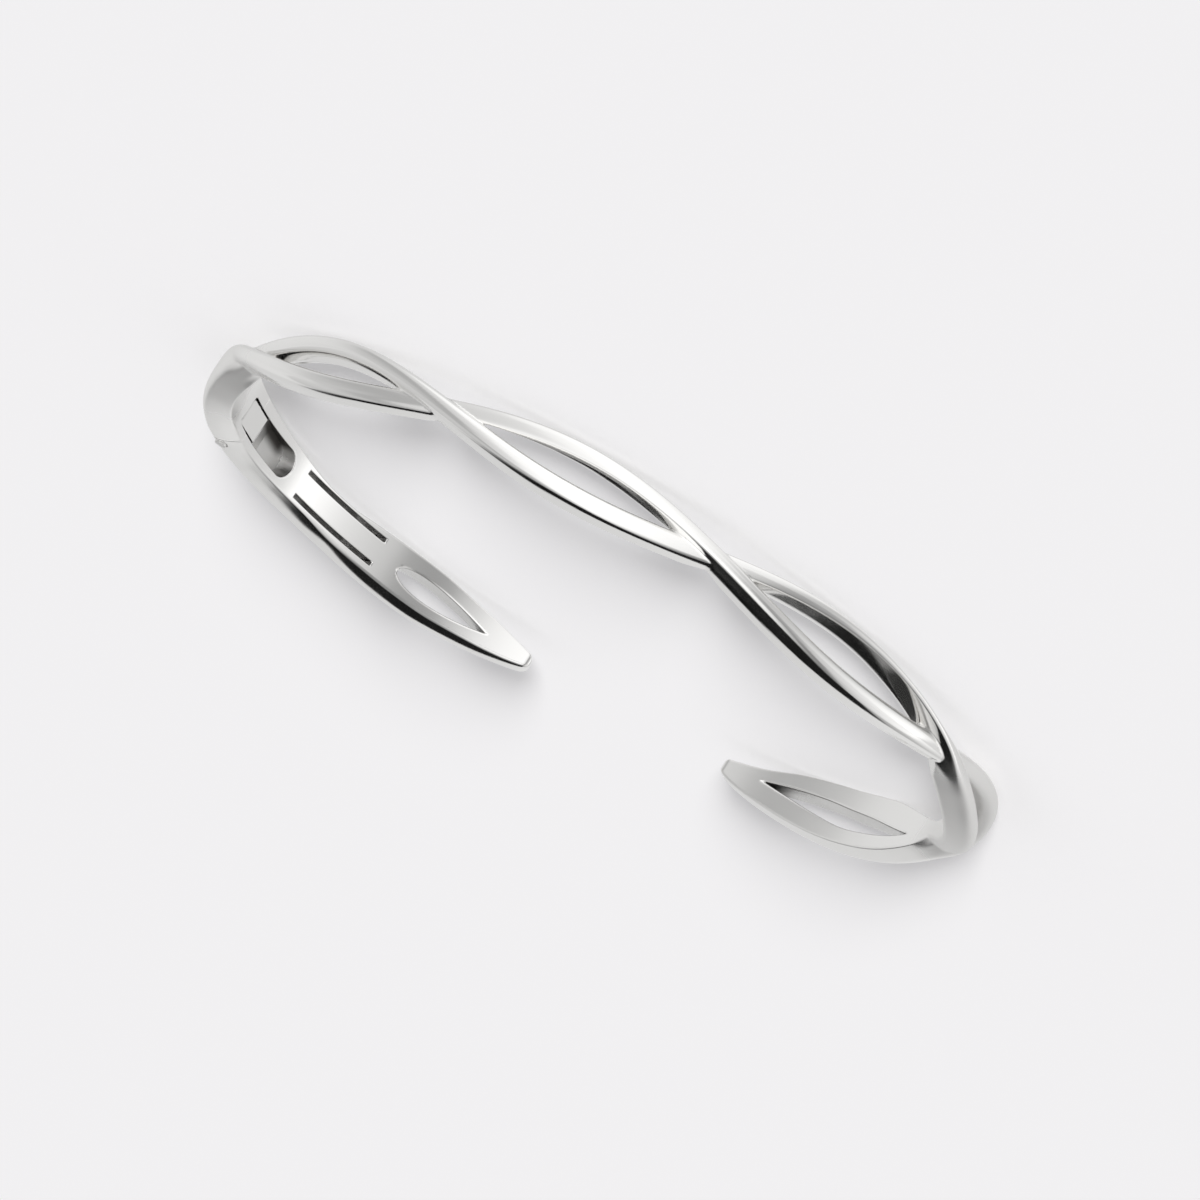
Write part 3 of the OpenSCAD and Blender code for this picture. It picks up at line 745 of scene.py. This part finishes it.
# (lon, value): place of the strip's far edge, place of the flag, how much wider its middle
# is, its depth, and how much of the strip and flag there is
EDGE_PLACE = [(-180, 10), (-100, 5), (-75, -18), (-60, -29), (-30, -40), (60, -40), (90, -35),
              (115, -25), (140, -8), (180, 0)]
FLAG_PLACE = [(-180, -3), (-113, -1), (-98, 4), (-83, 11), (-68, 18), (-53, 22), (-38, 27),
              (-20, 33), (180, 33)]
FLAG_SPREAD = [(-180, 5), (-126, 6), (-112, 10), (-104, 10), (-92, 3), (-85, 0), (180, 0)]
FLAG_DEPTH = [(-180, 1), (-100, 1), (-94, 0.85), (-87, 0.62), (-75, 0.55), (-40, 0.55),
              (-22, 0.5), (10, 0.42), (30, 0.38), (45, 0), (180, 0)]
TENT_SHARE = [(-180, 0), (-127, 0), (-123, 1), (100, 1), (155, 0), (180, 0)]
# (lat, share) of the grey beyond the strip
GREY_SHADE = [(-90, 0.95), (-40, 1.1), (-16, 0.95), (0, 1.0), (14, 1.1), (38, 0.94), (90, 1.06)]
# A second, small flag beside the first one's end: how much it takes, by lon and by lat
SIDE_FLAG_LON = [(-180, 0), (-137, 0), (-132, -0.96), (-120, -0.96), (-114, 0), (180, 0)]
SIDE_FLAG_LAT = [(-90, 0), (-23, 0), (-18, 1), (-12, 1), (-8.5, 0), (90, 0)]
# What one strand does not show of the tent in the other's wall: two flags, by lon and by lat
BETWEEN = [
    ([(-180, -0.95), (-154, -0.95), (-146, 0), (150, 0), (160, -0.95), (180, -0.95)],
     [(-90, 0), (-34, 0), (-28, 1), (-14, 1), (-10, 0), (90, 0)]),
    ([(-180, -0.62), (-152, -0.62), (-142, 0), (168, 0), (178, -0.62), (180, -0.62)],
     [(-90, 0), (-14, 0), (-10, 1), (20, 1), (30, 0), (90, 0)]),
]
# (degrees from that edge or flag, brightness)
EDGE_RAMP = [(-60, 0.64), (-38, 0.58), (-20, 0.46), (-11, 0.68), (0, 0.8), (7, 1.02), (14, WHITE)]
DARK_RAMP = [(-30, WHITE), (-25, 1.0), (-19, 0.72), (-14, 0.32), (-9, 0.12), (-6, 0.01),
             (6, 0.01), (9, 0.13), (14, 0.42), (20, 0.48)]
PALE_RAMP = [(-30, WHITE), (-18, 1.0), (-12, 0.9), (-6, 0.66), (0, 0.58), (6, 0.64), (12, GREY)]


class WorldMath:
    """Nodes in the world's tree that work out numbers from the direction of the light."""

    def __init__(self, tree):
        self.tree = tree
        self.direction = tree.nodes.new("ShaderNodeTexCoord").outputs["Generated"]

    def part(self, axis):
        """How far the direction points along an axis."""
        n = self.tree.nodes.new("ShaderNodeVectorMath")
        n.operation = "DOT_PRODUCT"
        self.tree.links.new(self.direction, n.inputs[0])
        n.inputs[1].default_value = axis
        return n.outputs["Value"]

    def work_out(self, operation, *inputs):
        """One sum of numbers and of what other nodes give."""
        n = self.tree.nodes.new("ShaderNodeMath")
        n.operation = operation
        for socket, value in zip(n.inputs, inputs):
            if isinstance(value, (int, float)):
                socket.default_value = value
            else:
                self.tree.links.new(value, socket)
        return n.outputs[0]

    def curve(self, value, points):
        """A curve through (degrees, value) points."""
        xs, ys = zip(*points)
        low, span, least, most = xs[0], xs[-1] - xs[0], min(ys), max(ys)
        share = self.work_out("DIVIDE", self.work_out("SUBTRACT", value, low), span)
        n = self.tree.nodes.new("ShaderNodeFloatCurve")
        line = n.mapping.curves[0]
        spots = [((x - low) / span, (y - least) / (most - least)) for x, y in points]
        line.points[0].location, line.points[-1].location = spots[0], spots[-1]
        for spot in spots[1:-1]:
            line.points.new(*spot)
        for p in line.points:
            p.handle_type = "AUTO_CLAMPED"
        n.mapping.update()
        self.tree.links.new(share, n.inputs["Value"])
        return self.work_out("MULTIPLY_ADD", n.outputs[0], most - least, least)


def light_tent(world_math, again):
    """The tent's brightness. again is one where the metal has mirrored the light before."""
    work_out, curve, part = world_math.work_out, world_math.curve, world_math.part
    across = math.cos(TENT_TURN) * right + math.sin(TENT_TURN) * up
    along = math.cos(TENT_TURN) * up - math.sin(TENT_TURN) * right
    lat = work_out("DEGREES", work_out("ARCSINE", part(across)))
    lon = work_out("DEGREES", work_out("ARCTAN2", part(along), part(back)))

    edge = curve(work_out("SUBTRACT", lat, curve(lon, EDGE_PLACE)), EDGE_RAMP)
    beside = work_out("SUBTRACT", lat, curve(lon, FLAG_PLACE))
    spread = curve(lon, FLAG_SPREAD)
    middle = work_out("MAXIMUM", beside, work_out("MULTIPLY", spread, -1.0))
    beside = work_out("SUBTRACT", beside, work_out("MINIMUM", middle, spread))
    depth = curve(lon, FLAG_DEPTH)
    dark = work_out("MULTIPLY", curve(beside, DARK_RAMP), depth)
    pale = work_out("MULTIPLY", curve(beside, PALE_RAMP), work_out("SUBTRACT", 1.0, depth))
    tent = work_out("MINIMUM", edge, work_out("ADD", dark, pale))

    share = curve(lon, TENT_SHARE)
    grey = work_out("MULTIPLY", curve(lat, GREY_SHADE), GREY)
    tent = work_out("MULTIPLY_ADD", work_out("SUBTRACT", tent, grey), share, grey)
    side_lon, side_lat = curve(lon, SIDE_FLAG_LON), curve(lat, SIDE_FLAG_LAT)
    tent = work_out("MULTIPLY", tent, work_out("MULTIPLY_ADD", side_lon, side_lat, 1.0))
    for by_lon, by_lat in BETWEEN:
        between = work_out("MULTIPLY", curve(lon, by_lon), curve(lat, by_lat))
        tent = work_out("MULTIPLY", tent, work_out("MULTIPLY_ADD", between, again, 1.0))
    return tent


def studio():
    """The world: even light for the floor, the light tent for the metal's reflections."""
    world = bpy.data.worlds.new("studio")
    bpy.context.scene.world = world
    world.use_nodes = True
    tree = world.node_tree
    tree.nodes.clear()
    link = tree.links.new
    world_math = WorldMath(tree)
    path = tree.nodes.new("ShaderNodeLightPath")
    again = world_math.work_out("GREATER_THAN", path.outputs["Glossy Depth"], FIRST_BOUNCE)
    room = tree.nodes.new("ShaderNodeBackground")
    room.inputs["Color"].default_value = ROOM_COLOUR
    room.inputs["Strength"].default_value = ROOM
    seen = tree.nodes.new("ShaderNodeBackground")
    seen.inputs["Color"].default_value = TENT_COLOUR
    link(light_tent(world_math, again), seen.inputs["Strength"])
    pick = tree.nodes.new("ShaderNodeMixShader")
    link(path.outputs["Is Glossy Ray"], pick.inputs[0])
    link(room.outputs[0], pick.inputs[1])
    link(seen.outputs[0], pick.inputs[2])
    out = tree.nodes.new("ShaderNodeOutputWorld")
    link(pick.outputs[0], out.inputs["Surface"])


studio()

# A low soft light from the camera's side, for the shadows beyond the bangle
SUN_FROM, SUN_STRENGTH, SUN_SIZE = (0.16, 0.985, 0.16), 7.9, math.radians(10)
sun = bpy.data.lights.new("low_light", "SUN")
sun.energy, sun.angle = SUN_STRENGTH, SUN_SIZE
low_light = bpy.data.objects.new("low_light", sun)
low_light.rotation_euler = Vector(SUN_FROM).to_track_quat("Z", "Y").to_euler()
low_light.visible_glossy = False
bpy.context.scene.collection.objects.link(low_light)
bpy.context.scene.view_settings.view_transform = "Standard"
